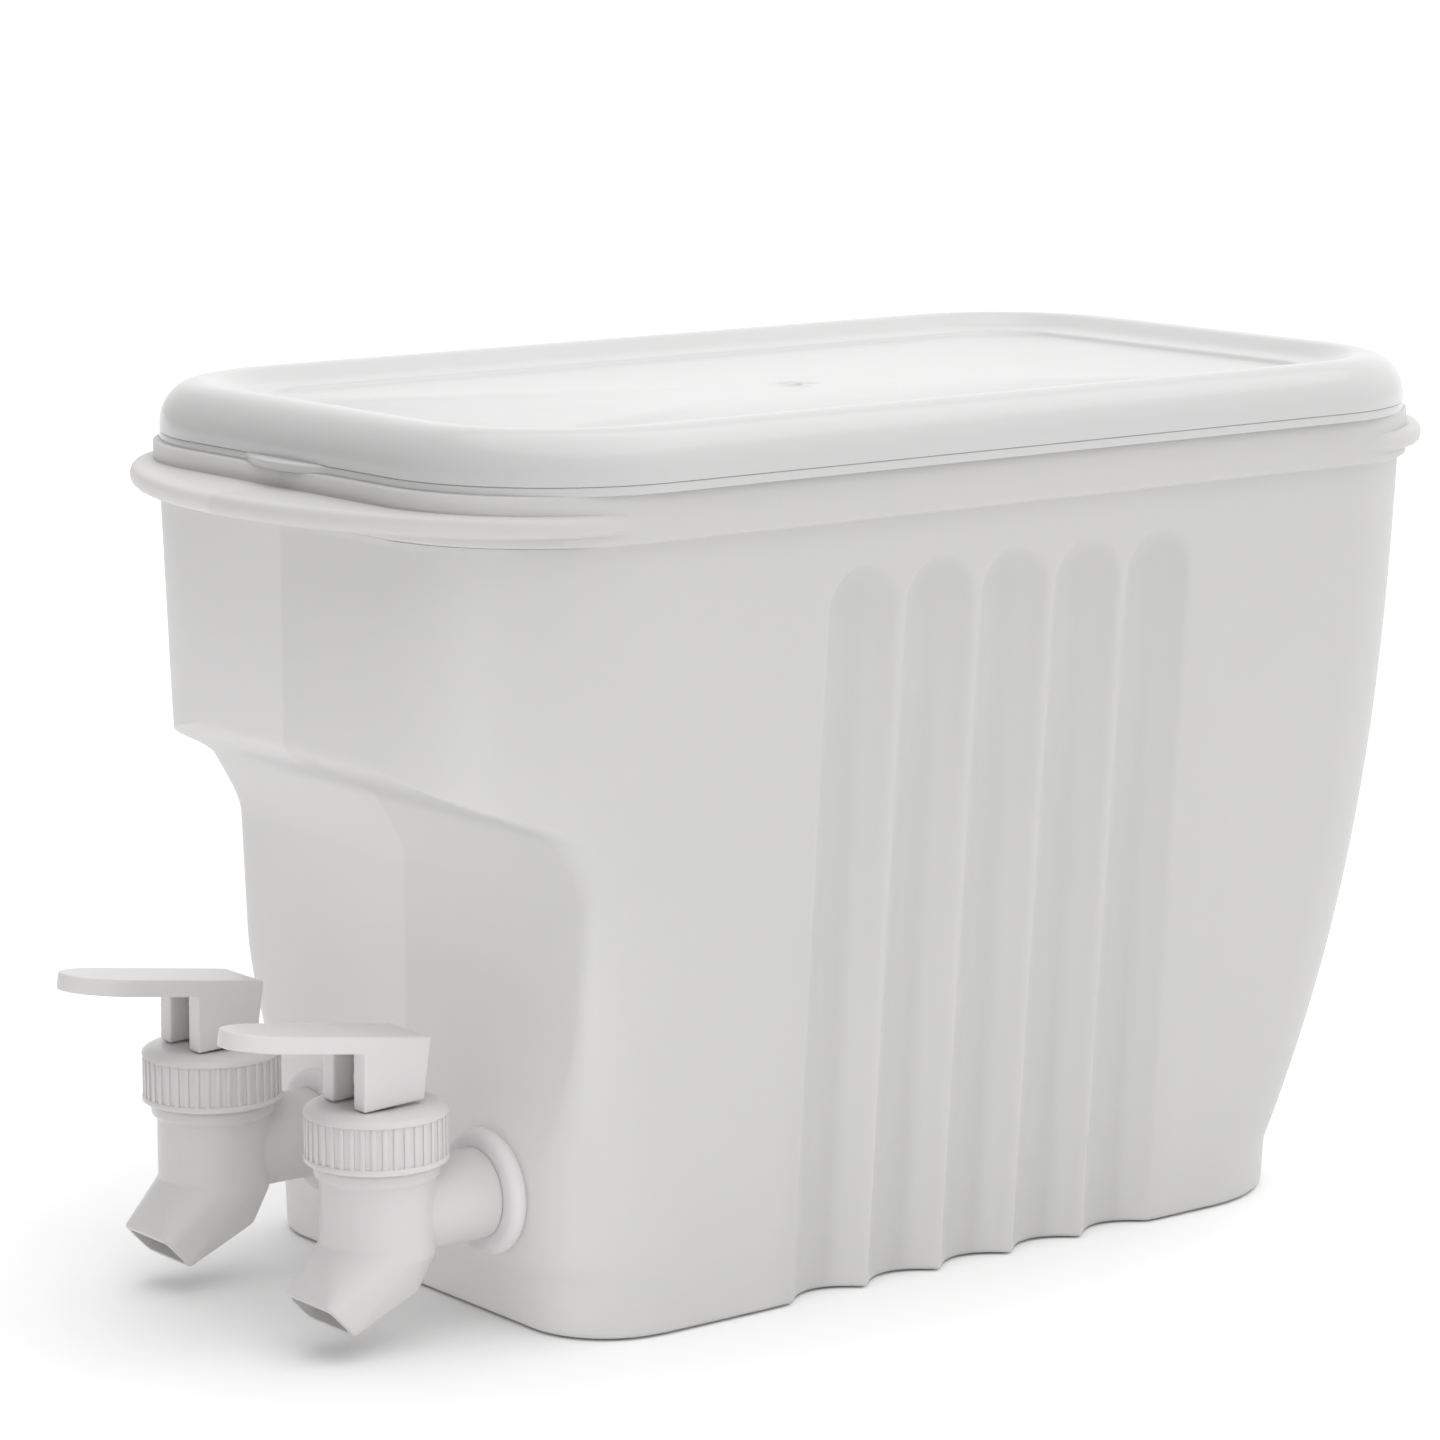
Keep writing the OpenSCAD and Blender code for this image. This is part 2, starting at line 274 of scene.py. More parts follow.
# %% [markdown]
# The tank is natural polypropylene: milky, slightly warm, with a satin skin. Very fine grain scatters the
# light, broad slow waves show where the wall cooled unevenly, and faint cloudy patches come from the plastic's
# flow. The lid and the taps are the same family of plastic with more white in it, and the taps are glossier.
# One recipe makes them all, and only its numbers change. Colour, roughness and bump vary over the surface;
# the rest is set once on the shader. Light comes through the tank's thin wall on the left of its divider, so
# that half of the tap end looks a little lighter: this glow is painted light, a mask on x and y that lifts its
# colour.

# %% Plastic finishes
# The lighter left half of the tap end is painted glow: light through the wall, put into the colour.
SEAM_W = 0.0012                         # how sharply the tone changes over the divider, in metres
TAP_END_Y, TAP_END_FADE = -0.085, 0.03  # where the lighter half begins, and how slowly


def plastic(name, colour, clouds, rough, grain, waves, gloss=0.5, glow=0.0, left_half=1.0):
    """A moulded plastic. clouds is a second colour in faint patches, and grain and waves are bump strengths.
    left_half is how much lighter the left half of the tap end is painted, for the glow of light through its
    wall."""
    finish = bpy.data.materials.new(name)
    finish.use_nodes = True
    plan = Plan(finish.node_tree)
    plan.put("ShaderNodeTexCoord")
    place = plan.other("Object")
    patch = plan.put("ShaderNodeTexNoise", inputs={"Vector": place, "Scale": 14.0, "Detail": 3.0,
                                                   "Roughness": 0.55})
    flow = plan.put("ShaderNodeTexNoise", inputs={"Vector": place, "Scale": 55.0, "Detail": 2.0})
    mask = ((patch - 0.35) * 2.2 + (flow - 0.5) * 0.5).most(0.0).least(1.0)
    plan.put("ShaderNodeMix", {"data_type": "RGBA"}, {0: mask, 6: (*colour, 1), 7: (*clouds, 1)})
    tint = Wire(plan, plan.last.outputs[2])
    # Painted glow: the colour is lifted on the left half of the tap end, where light comes through the wall.
    if left_half != 1.0:
        x = plan.put("ShaderNodeSeparateXYZ", inputs={0: place})
        y = plan.other("Y")
        left = ((SEAM_W / 2 - x) / SEAM_W).most(0.0).least(1.0)
        front = ((TAP_END_Y - y) / TAP_END_FADE).most(0.0).least(1.0)
        plan.put("ShaderNodeMix", {"data_type": "RGBA"}, {0: left * front, 6: tint,
                                                          7: (*(c * left_half for c in clouds), 1)})
        tint = Wire(plan, plan.last.outputs[2])
    fine = plan.put("ShaderNodeTexNoise", inputs={"Vector": place, "Scale": 2600.0, "Detail": 2.0,
                                                  "Roughness": 0.6})
    slow = plan.put("ShaderNodeTexNoise", inputs={"Vector": place, "Scale": 38.0, "Detail": 1.0})
    satin = rough + (patch - 0.5) * 0.10 + (fine - 0.5) * 0.06
    skin = plan.put("ShaderNodeBump", inputs={"Height": fine, "Strength": grain, "Distance": 0.00006})
    skin = plan.put("ShaderNodeBump", inputs={"Height": slow, "Strength": waves, "Distance": 0.0006,
                                              "Normal": skin})
    shader = plan.put("ShaderNodeBsdfPrincipled", inputs={
        "Base Color": tint, "Roughness": satin, "Normal": skin, "IOR": 1.49, "Specular IOR Level": gloss,
        "Subsurface Weight": glow, "Subsurface Radius": (1.0, 0.92, 0.85), "Subsurface Scale": 0.006})
    plan.put("ShaderNodeOutputMaterial", inputs={"Surface": shader})
    return finish


tank_finish = plastic("milky_tank_plastic", (0.548, 0.545, 0.539), (0.561, 0.554, 0.551), 0.46, 0.10, 0.10,
                      gloss=0.42, glow=0.2, left_half=1.055)
lid_finish = plastic("white_lid_plastic", (0.565, 0.562, 0.560), (0.578, 0.571, 0.571), 0.22, 0.06, 0.07,
                     gloss=0.5, glow=0.05)
tap_finish = plastic("tap_plastic", (0.668, 0.659, 0.655), (0.685, 0.673, 0.672), 0.32, 0.05, 0.12,
                     gloss=0.5, glow=0.04)
silicone_finish = plastic("washer_silicone", (0.800, 0.785, 0.790), (0.815, 0.800, 0.805), 0.55, 0.14, 0.05,
                          gloss=0.35, glow=0.1)
print("finishes:", [finish.name for finish in (tank_finish, lid_finish, tap_finish, silicone_finish)])

# %% [markdown]
# The springs inside the taps are drawn steel wire: bright metal with fine lines along it and a little
# unevenness in its roughness.

# %% Spring steel
steel_finish = bpy.data.materials.new("spring_wire_steel")
steel_finish.use_nodes = True
plan = Plan(steel_finish.node_tree)
plan.put("ShaderNodeTexCoord")
place = plan.other("Object")
stretched = plan.put("ShaderNodeVectorMath", {"operation": "MULTIPLY"},
                     {0: place, 1: (900.0, 900.0, 5200.0)})
lines = plan.put("ShaderNodeTexNoise", inputs={"Vector": stretched, "Scale": 1.0, "Detail": 2.0})
draw = plan.put("ShaderNodeBump", inputs={"Height": lines, "Strength": 0.15, "Distance": 0.00003})
steel = plan.put("ShaderNodeBsdfPrincipled", inputs={
    "Base Color": (0.62, 0.61, 0.60, 1), "Metallic": 1.0, "Roughness": 0.22 + lines * 0.2, "Normal": draw})
plan.put("ShaderNodeOutputMaterial", inputs={"Surface": steel})
print("steel finish has", len(steel_finish.node_tree.nodes), "nodes")

# %% [markdown]
# The tank's outline changes with height by rule: the sides lean out a little, the tap end steps out into an
# overhang above the taps, the plain end swells outwards, and the corners get rounder. The formulas are those of
# the CAD source. The visible tank differs from it in a few places: at the tap end its overhang is a little
# deeper and flatter and its foot step is softer, and the collar that goes up inside the lid is slightly larger.

# %% The tank's rule
TAP_X, TAP_Y, TAP_Z = 35.0, -151.0, 31.0  # each tap's upright axis, and the height of its shank

BASE_W, BODY_W, RIM_Z, WALL = 141.0, 167.0, 187.7, 2.0
FOOT_FRONT, FOOT_STEP, FOOT_BACK, LEAN = 117.5, 1.1, 119.0, 31.0
OVERHANG, BOW, BACK_BOW = 33.2, 0.4, 2
TOP_R, EDGE_R, FOOT_R = 43.0, 9.0, 22  # corners at the tap end: upper body, recess edge, and foot


def ease(a, b, z):
    """Goes smoothly from 0 at height a to 1 at height b."""
    t = min(1.0, max(0.0, (z - a) / (b - a)))
    return t * t * (3 - 2 * t)


def half_w(z): return BASE_W / 2 + (BODY_W - BASE_W) / 2 * min(1, z / RIM_Z)
def front_y(z):
    return -(FOOT_FRONT + FOOT_STEP * ease(11, 18, z)
             + OVERHANG * (0.34 * ease(103, 130, z) + 0.66 * ease(119, 135, z)))
def bow(z): return BOW * ease(118, 133, z)
def back_y(z): return FOOT_BACK + LEAN * (1 - (1 - min(1, max(0, (z - 12) / 172))) ** 2.6)
def back_r(z): return 37 + z / 185


print("tap end at the foot, under the overhang and at the rim:", [round(front_y(z), 1) for z in (0, 60, 187)])

# %% [markdown]
# Each level is one outline with its straight sides, its corner arcs and its slightly bowed ends, always with
# the same number of points, so that levels can be joined. The tap end's corners are special: the upper body has
# a wide arc, and the recess cuts it off with a tighter edge, so each corner is two arcs that touch.

# %% Outlines
PITCH, FLUTE_DEPTH, FLUTE_TOP = 23.0, 6.0, 177.0
LID_B, LID_L, LID_R, LID_Z = 87.0, 150.0, 45.0, 199.0
COLLAR_B, COLLAR_L, COLLAR_R = 85.2, 152.3, 43.5
CORNER_POINTS = 32
END_Y, EAR_REACH, EAR_BLEND = 116, 55.0, 8.7  # where the ears' and tabs' curves have their middle; ear sizes


def arc(cx, cy, r, start, angles):
    return np.stack([cx + r * np.cos(start + angles), cy + r * np.sin(start + angles)], 1)


def tap_corner(z, inside, b, count):
    """A corner at the tap end, from side to front: the upper body's arc, cut off by the recess with an edge."""
    r, top = TOP_R - inside, BOW - FOOT_FRONT - FOOT_STEP - OVERHANG
    e = EDGE_R + (FOOT_R - EDGE_R) * (1 - ease(30, 75, z))
    fy = front_y(z) + bow(z) + e
    cy = max(top + TOP_R, fy + 3.5)
    dx = math.sqrt(max(0.0, (TOP_R - e) ** 2 - (fy - cy) ** 2))
    t = math.atan2(fy - cy, dx)
    split = count // 2
    wide = arc(b - r, cy, r, 0, np.linspace(0, t, split))
    tight = arc(b - r + dx, fy, e - inside, 0, np.linspace(t, -math.pi / 2, count - split + 1)[1:])
    return np.concatenate([wide, tight])


def outline(b, back, r_back, bow_back, front, bow_front, corner_front, z):
    """One level, anticlockwise from above: half width b, a back end, and a front end with its own corners."""
    ends, corner = 40, 20
    y0, y1, zone = corner_front[0, 1], back - bow_back - r_back, 2.5 * PITCH
    side = np.concatenate([np.linspace(y0, -zone, 5)[1:-1], np.linspace(-zone, zone, 121),
                           np.linspace(zone, y1, 5)[1:]])
    turn, bar = np.linspace(0, math.pi / 2, corner + 1)[1:], np.linspace(1, -1, ends + 1)[1:]
    width = corner_front[-1, 0]
    tip = np.stack([-width * bar, front + bow_front * (1 - np.cos(math.pi * bar)) / 2], 1)
    flat = np.concatenate([
        np.stack([np.full(side.size, b), side], 1),
        arc(b - r_back, y1, r_back, 0, turn),
        np.stack([(b - r_back) * bar, back - bow_back * (1 - np.cos(math.pi * bar)) / 2], 1),
        arc(r_back - b, y1, r_back, math.pi / 2, turn),
        np.stack([np.full(side.size - 1, -b), side[::-1][1:]], 1),
        corner_front * (-1, 1),
        tip[:-1],
        corner_front[::-1]])
    return np.column_stack([flat, np.full(len(flat), z)])


def body_level(z, inside=0.0):
    b = half_w(z) - inside
    return outline(b, back_y(z) - inside, back_r(z) - inside, BACK_BOW, front_y(z) + inside, bow(z),
                   tap_corner(z, inside, b, CORNER_POINTS), z)


def round_level(b, length, r, z):
    corner = arc(b - r, r - length, r, 0, np.linspace(0, -math.pi / 2, CORNER_POINTS))
    return outline(b, length, r, 0, -length, 0, corner, z)


def collar_level(z, inside=0.0):
    return round_level(COLLAR_B - inside, COLLAR_L - inside, COLLAR_R - inside, z)


def lid_level(z, inside=0.0):
    return round_level(LID_B - inside, LID_L - inside, LID_R - inside, z)


def with_ears(level, inside=0.0):
    """Pushes a collar level out to the grip ears: half an ellipse at each end."""
    level, a, e = level.copy(), COLLAR_B - inside, EAR_REACH - inside
    for p in level:
        dy = abs(p[1]) - END_Y
        if dy > 0:
            reach = 1 / math.sqrt((p[0] / a) ** 2 + (dy / e) ** 2)
            if reach > 1:
                p[0], p[1] = p[0] * reach, math.copysign(END_Y + dy * reach, p[1])
        elif dy > -EAR_BLEND:
            p[0] += math.copysign(max(0, a - abs(p[0])) * (1 + dy / EAR_BLEND), p[0])
    return level


print("one level has", len(body_level(0)), "points")


# %% [markdown]
# The shell is drawn as one closed surface that runs from the middle of the base, up the outside, over the rim
# band and its two grip ears, over the thin neck that the lid closes on, and down the inside to the floor.
# That way the wall has a real thickness and its rim is a real rolled edge.

# %% The tank's shell
levels = [body_level(z, o) for z, o in ((0, 1.5), (0.2, 0.75), (0.7, 0.22), (1.4, 0))]
levels += [body_level(z) for z in (2.5, 5, 7.5, 10, 12.4, 13, 13.4, 13.8, 14.2, 14.6, 15, 15.6)]
levels += [body_level(z) for z in np.arange(17.5, 100, 2.3)]
levels += [body_level(z) for z in np.arange(100, 159, 1.1)]
levels += [body_level(z) for z in np.arange(160, 178.6, 0.75)]
levels += [body_level(z) for z in (180.5, 183, 185.5, 187)]
levels += [body_level(187.5, -0.25)]
levels += [collar_level(z, o) for z, o in ((187.7, 0.7), (187.9, 0.2), (188.3, 0), (189.9, 0))]
levels += [with_ears(collar_level(z), o) for z, o in
           ((190.0, 2.1), (190.3, 1.0), (190.9, 0.35), (191.8, 0), (193.2, 0), (194.1, 0.35), (194.7, 1.0),
            (195.0, 2.1))]
levels += [collar_level(z, o) for z, o in ((195.05, 0), (197, 0), (199.0, 0), (199.25, 0.1), (199.35, 0.35))]
levels += [lid_level(z, 3.4 + o) for z, o in
           ((199.4, -0.3), (199.6, 0), (201, 0), (203.6, 0), (204.2, 0.25), (204.5, 0.8), (204.5, 1.4),
            (204.2, 1.95), (203.6, 2.2), (200, 2.2), (194, 2.2), (189, 2.2))]
levels += [body_level(z, WALL) for z in (186.5, 184, 181.5)]
levels += [body_level(z, WALL) for z in np.arange(178, 160, -1.5)]
levels += [body_level(z, WALL) for z in np.arange(159, 7, -3.4)]
levels += [body_level(z, o) for z, o in ((6, 2), (4.4, 2.4), (3.4, 3.4), (3.0, 5.0))]
tank_shell = loft("tank_shell", levels, crease=44)
print("tank shell:", len(levels), "levels of", len(levels[0]), "points")

# %% [markdown]
# Five flutes are pressed into each long side. They follow a rule: an even spacing, a depth that fades towards
# the top, and arched tops. Geometry Nodes press them into the plain shell: each point finds the nearest flute's
# middle, how far across that flute it is, and how far up its arch, and moves inwards by the flute's depth
# there. Because inner and outer wall use the same rule, the wall keeps its thickness. A smooth version of
# "never less than zero" rounds the edges, as a mould does.

# %% Press the flutes
def group(name, sizes):
    """A Geometry Nodes group with a mesh input, and one number input for each size."""
    tree = bpy.data.node_groups.new(name, "GeometryNodeTree")
    tree.interface.new_socket("Mesh", in_out="INPUT", socket_type="NodeSocketGeometry")
    for label, value in sizes.items():
        kind = "NodeSocketInt" if isinstance(value, int) else "NodeSocketFloat"
        tree.interface.new_socket(label, in_out="INPUT", socket_type=kind).default_value = value
    tree.interface.new_socket("Mesh", in_out="OUTPUT", socket_type="NodeSocketGeometry")
    plan = Plan(tree)
    plan.put("NodeGroupInput")
    entry = plan.last
    return tree, plan, {s.name: Wire(plan, s) for s in entry.outputs if s.name}


def run(piece, tree, sizes):
    """Runs a group on a piece with the given sizes and keeps the result as a plain mesh."""
    live = piece.modifiers.new(tree.name, "NODES")
    live.node_group = tree
    for item in tree.interface.items_tree:
        if item.in_out == "INPUT" and item.name in sizes:
            live[item.identifier] = sizes[item.name]
    return cooked(piece)


flute_sizes = {"Pitch": PITCH * MM, "Depth": FLUTE_DEPTH * MM, "Top": FLUTE_TOP * MM, "Arch": 10.6 * MM,
               "Rows each way": 2.0, "Width at top": 0.895, "Widening": 0.09, "Depth at top": 0.7,
               "Deepening": 0.3, "Edge softness": 0.10}
tree, plan, size = group("press_flutes", flute_sizes)
spot = plan.put("GeometryNodeInputPosition")
x = plan.put("ShaderNodeSeparateXYZ", inputs={0: spot})
y, z = plan.other("Y"), plan.other("Z")
row = plan.put("ShaderNodeMath", {"operation": "ROUND"}, {0: y / size["Pitch"]})
row = row.least(size["Rows each way"]).most(0.0 - size["Rows each way"])
rise = 1.0 - z / size["Top"]
width = size["Pitch"] * 0.5 * (size["Width at top"] + size["Widening"] * rise)
across = (y - row * size["Pitch"]) / width
arch = (z - size["Top"] + size["Arch"]).most(0.0) / size["Arch"]
hollow = 1.0 - across * across - arch * arch
hollow = 0.5 * (hollow + (hollow * hollow + size["Edge softness"] * size["Edge softness"]) ** 0.5)
dip = size["Depth"] * (size["Depth at top"] + size["Deepening"] * rise) * hollow
sign = plan.put("ShaderNodeMath", {"operation": "SIGN"}, {0: x})
push = plan.put("ShaderNodeCombineXYZ", inputs={0: 0.0 - sign * dip})
pressed = plan.put("GeometryNodeSetPosition", inputs={"Geometry": size["Mesh"], "Offset": push})
made = plan.put("GeometryNodeRealizeInstances", inputs={0: pressed})
made = plan.put("GeometryNodeSetMaterial", inputs={"Geometry": made, "Material": tank_finish})
plan.put("NodeGroupOutput", inputs={0: made})
run(tank_shell, tree, flute_sizes)
soften(tank_shell.data, 44)
print("flutes pressed:", len(tank_shell.data.polygons), "faces")

# %% [markdown]
# Inside, a thin wall divides the tank into one compartment for each tap, and each compartment has a hole that
# the tap's threaded shank goes through. The divider is added and the holes are cut with the Boolean modifier.

# %% Divider and tap holes
DIVIDER_TOP, DIVIDER_HALF, HOLE_R = 184, 1.0, 8.3
heights = np.array([1.5, 14, 30, 46, 58, 70, 82, 95, 101, 106, 111, 116, 120, 123, 126, 129, 132, 135, 160,
                    183, DIVIDER_TOP])
rim = [(front_y(h) + 1, h) for h in heights] + [(back_y(h) - 1, h) for h in heights[::-1]]
plate = []
for px, lower in ((-DIVIDER_HALF, 0.2), (-0.85, 0), (0.85, 0), (DIVIDER_HALF, 0.2)):
    plate.append([(px, py, pz - (lower if pz == DIVIDER_TOP else 0)) for py, pz in rim])
carve(tank_shell, loft("divider", plate), "UNION", 44)

LAY = Matrix.Rotation(-math.pi / 2, 4, "X")  # turns an upright solid so that its top points back at the tank
for px in (-TAP_X, TAP_X):
    hole = turned("hole", [(0, -4), (HOLE_R, -4), (HOLE_R, 4), (0, 4)], 64)
    carve(tank_shell, placed(hole, LAY, (px, -118.0, TAP_Z)), crease=44)
tank_shell.data.materials.clear()
tank_shell.data.materials.append(tank_finish)
print("tank shell finished:", len(tank_shell.data.polygons), "faces")

# %% [markdown]
# The lid is a tray turned upside down: a rounded skirt, a broad crest all the way round, two steps down to a
# flat panel, and underneath a channel that grips the tank's neck and a plug wall that seats inside it. A small
# pull tab sticks out at each end. It is one closed surface too, from the middle of the panel over the crest,
# under the rim and back to the middle underneath. The crest follows a smooth curve through a few points.

# %% The lid's curves
TAB_R, TAB_HALF = 38.0, 20


def smooth_path(points, steps):
    """A Catmull-Rom curve through the points."""
    p = np.asarray(points, float)
    p = np.vstack([2 * p[0] - p[1], p, 2 * p[-1] - p[-2]])
    path = []
    for i in range(1, len(p) - 2):
        for t in np.linspace(0, 1, steps, endpoint=False):
            a, b, c, d = p[i - 1:i + 3]
            path.append(0.5 * (2 * b + (c - a) * t + (2 * a - 5 * b + 4 * c - d) * t * t
                               + (3 * b - a - 3 * c + d) * t ** 3))
    return path + [p[-2]]


def with_tabs(level, inside=0.0):
    """Pushes a lid level out to the pull tabs: part of a circle at each end."""
    level, r = level.copy(), TAB_R - inside
    for p in level:
        dy = abs(p[1]) - END_Y
        if dy > 0 and abs(p[0]) < TAB_HALF:
            reach = r / math.hypot(p[0], dy)
            if reach > 1:
                p[0], p[1] = p[0] * reach, math.copysign(END_Y + dy * reach, p[1])
    return level


# Both paths are pairs of millimetres: how far inside the lid's outline, and how high above its lower edge.
crest = smooth_path([(0, 4.5), (0.6, 7.5), (2.2, 10.4), (4.8, 12.8), (8.2, 14), (12, 14), (15, 13),
                     (19, 11.4), (22, 10.7), (25, 10.4), (27, 9.4), (29, 9)], 4)
under = [(1.45, 0.15), (1.45, 0.75), (2.2, 1.3), (2.2, 7.4), (2.7, 8), (5.5, 8), (6, 7.4),
         (6, -3.5), (6.4, -4), (7.6, -4), (8, -3.5),
         (8, 9.2), (8.4, 9.6), (16.6, 9.6), (17, 9.2), (17, 7.3), (17.4, 7)]
print("the crest's curve has", len(crest), "points")

# %% [markdown]
# A moulded part has a gate mark where the plastic was let in: here a small pit with a raised ring, in the
# middle of the panel. Its rings take their directions from the panel's outline, so the points still match.

# %% The lid
PANEL_H, PANEL_IN = 9, 29
at = LID_Z
panel = lid_level(at + PANEL_H, PANEL_IN)
turn = np.arctan2(panel[:, 1], panel[:, 0])
pit = [np.column_stack([r * np.cos(turn), r * np.sin(turn), np.full(turn.size, at + h)])
       for r, h in ((0.6, 8.62), (1.3, 8.66), (1.55, 9.0), (1.75, 9.14), (2.1, 9.14), (2.4, 9.0), (8, 9.0))]
levels = pit + [lid_level(at + h, o) for o, h in crest[::-1]]
levels += [lid_level(at + 3.2), lid_level(at + 2.3)]
levels += [with_tabs(lid_level(at + h, max(0, o - 0.05)), o) for h, o in
           ((2.3, 0.6), (2.1, 0.2), (1.7, 0), (0.5, 0), (0.15, 0.1), (0.0, 0.4))]
levels += [lid_level(at + h, o) for o, h in ((0.7, 0), (1.3, 0))]
levels += [lid_level(at + h, o) for o, h in under]
lid_shell = loft("lid_shell", levels, crease=40)
lid_shell.data.materials.append(lid_finish)
print("lid shell:", len(levels), "levels,", len(lid_shell.data.polygons), "faces")

# %% [markdown]
# Each tap body is one moulding: an upright barrel, a collar and neck that the cap nut screws on to, a
# flat-sided spout that slants forwards, and a stub and threaded shank that go back through the tank's wall.
# The simple solids overlap, and a voxel remesh melts them into one skin with the small fillets a mould leaves.
# The bores are cut after that, so that their edges stay crisp.

# %% Spout shapes
SPOUT_SLANT = math.radians(47)  # how far the spout leans forwards from upright
SPOUT_Y, SPOUT_Z = -16.2, 9.8   # middle of the spout's reference section


def hull(name, clouds):
    """The tightest skin round some rings of points."""
    shape = bmesh.new()
    for p in np.concatenate(clouds) * MM:
        shape.verts.new(p)
    result = bmesh.ops.convex_hull(shape, input=shape.verts)
    loose = [g for g in result["geom_interior"] + result["geom_unused"] if isinstance(g, bmesh.types.BMVert)]
    bmesh.ops.delete(shape, geom=list(set(loose)), context="VERTS")
    bmesh.ops.recalc_face_normals(shape, faces=shape.faces)
    mesh = bpy.data.meshes.new(name)
    shape.to_mesh(mesh)
    shape.free()
    piece = bpy.data.objects.new(name, mesh)
    bpy.context.scene.collection.objects.link(piece)
    return piece


def disc(r, z, y=0.0, n=96):
    """A level ring of points."""
    a = np.linspace(0, 2 * math.pi, n, endpoint=False)
    return np.column_stack([r * np.cos(a), y + r * np.sin(a), np.full(n, z)])


def spout_section(w, h, r, along):
    """A rounded rectangle across the spout, so many millimetres down it from its reference section."""
    pts = []
    for cx, cy, start in ((w / 2 - r, h / 2 - r, 0), (r - w / 2, h / 2 - r, 90), (r - w / 2, r - h / 2, 180),
                          (w / 2 - r, r - h / 2, 270)):
        for a in np.radians(np.arange(start, start + 91, 15)):
            pts.append((cx + r * math.cos(a), cy + r * math.sin(a), -along))
    p, c, s = np.array(pts), math.cos(SPOUT_SLANT), math.sin(SPOUT_SLANT)
    return np.column_stack([p[:, 0], SPOUT_Y + p[:, 1] * c + p[:, 2] * s, SPOUT_Z - p[:, 1] * s + p[:, 2] * c])


print("a spout section has", len(spout_section(20.4, 11, 2.5, 0)), "points")

# %% Tap bodies
STUB_R, SHANK_R, WALL_Y = 10.75, 7.45, 27.9  # radii, and how far behind the barrel's axis the stub ends


def tap_moulding(name):
    """One tap body, with its upright axis on the origin."""
    stub = turned("stub", [(0, 0), (STUB_R, 0), (STUB_R, WALL_Y), (0, WALL_Y)])
    shank = turned("shank", [(0, 20), (SHANK_R, 20), (SHANK_R, 47.4), (6.9, 48), (0, 48)])
    parts = [
        turned("barrel", [(0, 22.5), (13.3, 22.5), (13.3, 40.3), (14.1, 40.3), (14.6, 40.7), (14.6, 43.2),
                          (14.2, 43.6), (13.5, 43.6), (13.5, 53.9), (0, 53.9)]),
        hull("spout", [disc(13.3, 22), disc(13.3, 25), disc(9, 13, 0.5), disc(9, 15, 0.5),
                       spout_section(20.4, 11, 2.5, -3), spout_section(20.4, 11, 2.5, 0)]),
        placed(stub, LAY, (0, 0, TAP_Z)), placed(shank, LAY, (0, 0, TAP_Z))]
    body = moulded(joined("parts", parts), 0.42, 7)
    body.name = name
    bores = [turned("chamber", [(0, 25.5), (10.3, 25.5), (10.3, 60), (0, 60)]),
             turned("seat", [(0, 15), (3.9, 15), (3.9, 27), (0, 27)], 48),
             placed(turned("inlet", [(0, 4), (5.2, 4), (5.2, 60), (0, 60)], 64), LAY, (0, 0, TAP_Z)),
             placed(turned("run", [(0, 0), (3.6, 0), (3.6, 14), (0, 14)], 48),
                    Matrix.Rotation(math.radians(114), 4, "X"), (0, 0, 18.5)),
             loft("mouth", [spout_section(17, 7.6, 1.5, -7), spout_section(17, 7.6, 1.5, 3)])]
    for bore in bores:
        carve(body, bore, crease=50)
    return body


tap_moulding_right = tap_moulding("tap_moulding_right")
print("tap body:", len(tap_moulding_right.data.polygons), "faces")

# %% [markdown]
# The shank's thread is a ridge that winds round it. Geometry Nodes draw it: a spiral curve with a small
# three-sided section swept along it.

# %% Shank thread
def starter(name):
    """A small solid for a group that draws its own mesh and needs only an object to run on."""
    return turned(name, [(0, 0), (1, 0), (1, 1), (0, 1)], 8)


thread_sizes = {"Turns": 12.0, "Radius": 7.42 * MM, "Length": 25.5 * MM, "Ridge": 0.62 * MM}
tree, plan, size = group("wind_thread", thread_sizes)
spiral = plan.put("GeometryNodeCurveSpiral", inputs={
    "Resolution": 48, "Rotations": size["Turns"], "Start Radius": size["Radius"], "End Radius": size["Radius"],
    "Height": size["Length"]})
section = plan.put("GeometryNodeCurvePrimitiveCircle", inputs={"Resolution": 3, "Radius": size["Ridge"]})
ridge = plan.put("GeometryNodeCurveToMesh", inputs={"Curve": spiral, "Profile Curve": section,
                                                    "Fill Caps": True})
made = plan.put("GeometryNodeRealizeInstances", inputs={0: ridge})
made = plan.put("GeometryNodeSetMaterial", inputs={"Geometry": made, "Material": tap_finish})
plan.put("NodeGroupOutput", inputs={0: made})
thread = run(starter("thread"), tree, thread_sizes)
placed(thread, LAY, (0, 22, TAP_Z))
tap_moulding_right = joined("tap_moulding_right", [tap_moulding_right, thread], 50)
print("thread wound:", len(tap_moulding_right.data.polygons), "faces on the tap body now")

# %% [markdown]
# The cap nut is a short turned cup with a shoulder on top and forty fine ribs to grip it by. The cup is turned
# from its profile; the ribs repeat, so Geometry Nodes set copies of one small rounded bar round a circle.

